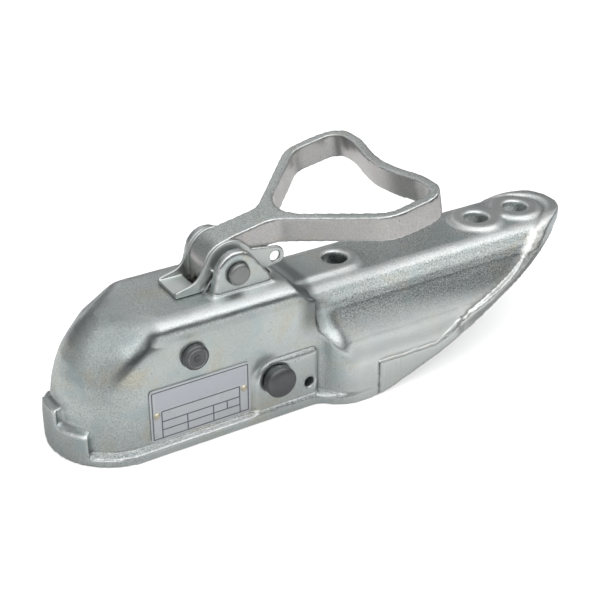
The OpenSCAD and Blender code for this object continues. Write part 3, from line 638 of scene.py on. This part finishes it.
# %% A wire along a path
def wire(name, path, thickness, node):
    curve = bpy.data.curves.new(name, "CURVE")
    curve.dimensions, curve.bevel_depth = "3D", thickness / 2 * MM
    curve.bevel_resolution, curve.use_fill_caps = 4, True
    line = curve.splines.new("POLY")
    line.points.add(len(path) - 1)
    for point, at in zip(line.points, path):
        point.co = (*[c * MM for c in at], 1)
    o = bpy.data.objects.new(name, curve)
    bpy.context.scene.collection.objects.link(o)
    only(o)
    bpy.ops.object.convert(target="MESH")
    o = bpy.context.active_object
    bpy.ops.object.mode_set(mode="EDIT")
    bpy.ops.mesh.select_all(action="SELECT")
    bpy.ops.mesh.remove_doubles(threshold=0.002 * MM)
    bpy.ops.mesh.normals_make_consistent(inside=False)
    bpy.ops.object.mode_set(mode="OBJECT")
    bpy.ops.object.shade_smooth()
    print(" ", name, len(o.data.polygons), "faces")
    hand_over(o, "head", spring_wire, node)


def coil(axis, radius, start_y, pitch, start_angle, turns, points):
    out = []
    for i in range(points + 1):
        done = turns * i / points
        a = math.radians(start_angle + 360 * done)
        out.append((axis[0] + radius * math.cos(a), start_y + pitch * done,
                    axis[2] + radius * math.sin(a)))
    return out


# %% [markdown]
# ## The catch spring
# A thin coil sits round the lever pin, between the catch's cheek and the near ear. One leg hooks on
# the catch and the other rests on the roof. Its pitch follows from the room between cheek and ear.

# %% Catch spring
EAR_INSIDE, CHEEK_OUTSIDE, CATCH_WIRE, CATCH_TURNS, AIR = 12.4, 9.95, 1.0, 1.75, 0.3
room = EAR_INSIDE - CHEEK_OUTSIDE - CATCH_WIRE - AIR
first_y = -CHEEK_OUTSIDE - CATCH_WIRE / 2 - AIR / 2
catch_coil = coil(LEVER_AXIS, 6.0, first_y, -room / CATCH_TURNS, 230, CATCH_TURNS, 70)
hook, foot = (49.86, first_y, 78), (44.5, first_y - room, 67.6)
wire("catch_spring_wire", [hook] + catch_coil + [foot], CATCH_WIRE, "catch_spring")

# %% [markdown]
# ## The cam spring
# A thicker coil sits round the far sleeve on the abutment pin and turns the cam back. One leg pushes
# the cam's arm and the other stands under the roof.

# %% Cam spring
WALL_INSIDE, CAM_SPRING_FROM, CAM_WIRE, CAM_TURNS, ROOF_INSIDE = 24.3, 13.65, 2.5, 3.25, 55.5
pitch = (WALL_INSIDE - CAM_WIRE / 2 - CAM_SPRING_FROM - AIR) / CAM_TURNS
cam_coil = coil(CAM_AXIS, 11.95, CAM_SPRING_FROM, pitch, 90, CAM_TURNS - 0.5, 120)
arm_leg, roof_leg = (48, CAM_SPRING_FROM, 34.45), (*cam_coil[-1][:2], ROOF_INSIDE)
wire("cam_spring_wire", [arm_leg] + cam_coil + [roof_leg], CAM_WIRE, "cam_spring")

# %% [markdown]
# ## Looks for the pieces that stay as CAD
# Washers, sleeves, the hidden mechanism, the plate and its rivets are simple turned or cut pieces. New
# meshes would add nothing to them, so they keep their CAD mesh and only take a look.

# %% CAD pieces
for name, mat in {"lever_pin_washer": sheet, "jaw_pin_washer": sheet, "abutment_pin_washer": sheet,
                  "ball_jaw": machined, "locking_cam": machined, "cam_spacers": machined,
                  "drive_pin": dark_pin, "type_plate": plate, "plate_rivets": brass}.items():
    nodes[name].data.materials.clear()
    nodes[name].data.materials.append(mat)
print("CAD pieces kept:", len([n for n in nodes.values() if not n.hide_render]))

# %% [markdown]
# ## Camera
# The camera was solved from points of the photograph on the flange, the pin heads, the bolt holes and
# the rim. A constraint could aim it at an empty, but the solved place and line of sight say it all. It
# has no roll.

# %% Camera
LENS, SENSOR = 79.43, 36.0
camera_at, line_of_sight = (-0.20281, -0.50719, 0.37417), Vector((0.4531, 0.7447, -0.4900))
cam = bpy.data.objects.new("camera", bpy.data.cameras.new("camera"))
bpy.context.scene.collection.objects.link(cam)
bpy.context.scene.camera = cam
cam.data.sensor_width, cam.data.lens = SENSOR, LENS
cam.data.clip_start, cam.data.clip_end = 0.01, 20
cam.rotation_mode = "QUATERNION"
cam.rotation_quaternion = line_of_sight.normalized().to_track_quat("-Z", "Y")
cam.location = camera_at
print("camera at", [round(c, 3) for c in cam.location])

# %% [markdown]
# ## Lamps
# The photograph was lit by large soft boxes. Small lamps would draw hard spots on the zinc, so four
# wide area lamps stand round the coupling, the strongest above it.


# %% Soft boxes
def soft_box(name, at, aim, size, power):
    light = bpy.data.lights.new(name, "AREA")
    light.shape, light.size, light.energy = "SQUARE", size, power
    o = bpy.data.objects.new(name, light)
    bpy.context.scene.collection.objects.link(o)
    o.location = at
    o.rotation_mode = "QUATERNION"
    o.rotation_quaternion = (Vector(aim) - Vector(at)).to_track_quat("-Z", "Y")


soft_box("top_box", (0.15, -0.05, 1.1), (0.11, 0, 0.03), 0.9, 1.6)
soft_box("front_box", (-0.45, -0.75, 1.05), (0.05, 0, 0.04), 0.5, 0.9)
soft_box("right_box", (0.75, -0.60, 0.95), (0.15, 0, 0.04), 0.5, 0.9)
soft_box("back_box", (0.3, 1.0, 0.7), (0.12, 0, 0.05), 0.6, 0.6)

# %% [markdown]
# ## Floor
# The coupling stands on white. A white floor would fill the metal with white from below, and real
# walls show a darker floor close to them. So the camera sees white, while the metal sees a floor with a
# painted shade close by, which also fades to dark far away. It still takes the coupling's shadow.

# %% Floor
COUPLING_MIDDLE, COUPLING_REACH, WHITE = 0.118, 0.113, (1, 1, 1)
bpy.ops.object.select_all(action="DESELECT")
bpy.ops.mesh.primitive_plane_add(size=12, location=(0, 0, -0.3 * MM))
floor = bpy.context.active_object
floor.name = "floor"
k = Look("floor_white")
seen = k.get("ShaderNodeLightPath", "Is Camera Ray")
reach = (k.x * k.x + k.y * k.y).root()
away = abs(k.y).at_least(abs(k.x - COUPLING_MIDDLE) - COUPLING_REACH)
# Painted shade on the floor near the coupling, and a painted fade to dark far away; only the metal sees
# it.
painted_floor_shade = (0.58 + 0.42 * away.step(0.05, 0.10)) * (1 - 0.9 * reach.step(0.40, 0.80))
paint = k.mix(seen, k.mix(painted_floor_shade, (0, 0, 0), WHITE), (0.92, 0.92, 0.92))
floor.data.materials.append(k.done(paint, 0.9, 0.0))
k.bsdf.inputs["Emission Color"].default_value = (*WHITE, 1)
k.tree.links.new((seen * 0.50).out, k.bsdf.inputs["Emission Strength"])
print("floor:", floor.name)

# %% [markdown]
# ## Studio walls
# Zinc shows what stands round it. A plain grey world would make it flat, and a picture of a studio
# would be one more file to keep. So the world is written as a sum: bright high up in front, dark along
# the front horizon, which draws the dark lines, and a quiet grey behind. The camera itself sees white.

# %% World
world = bpy.data.worlds.new("studio")
bpy.context.scene.world = world
world.use_nodes = True
walls = world.node_tree
seen = Sock(walls, add_node(walls, "ShaderNodeLightPath").outputs["Is Camera Ray"])
east, north, height = Sock(walls, add_node(walls, "ShaderNodeTexCoord").outputs["Generated"]).split()
behind = north.step(-0.35, 0.35)
left = 1 - east.step(-0.85, -0.45)
high_up = height.step(0.30, 0.52)
front = 0.02 + 0.45 * left * (1 - high_up) + 1.25 * high_up
rear = 0.19 + 0.25 * height.step(0.3, 0.9) + 0.25 * left
level = front * (1 - behind) + rear * behind
back = walls.nodes["Background"]
back.inputs["Color"].default_value = (*WHITE, 1)
walls.links.new((seen + (1 - seen) * level).out, back.inputs["Strength"])
bpy.context.scene.view_settings.view_transform = "Standard"
print("world:", world.name, "with", len(walls.nodes), "nodes")
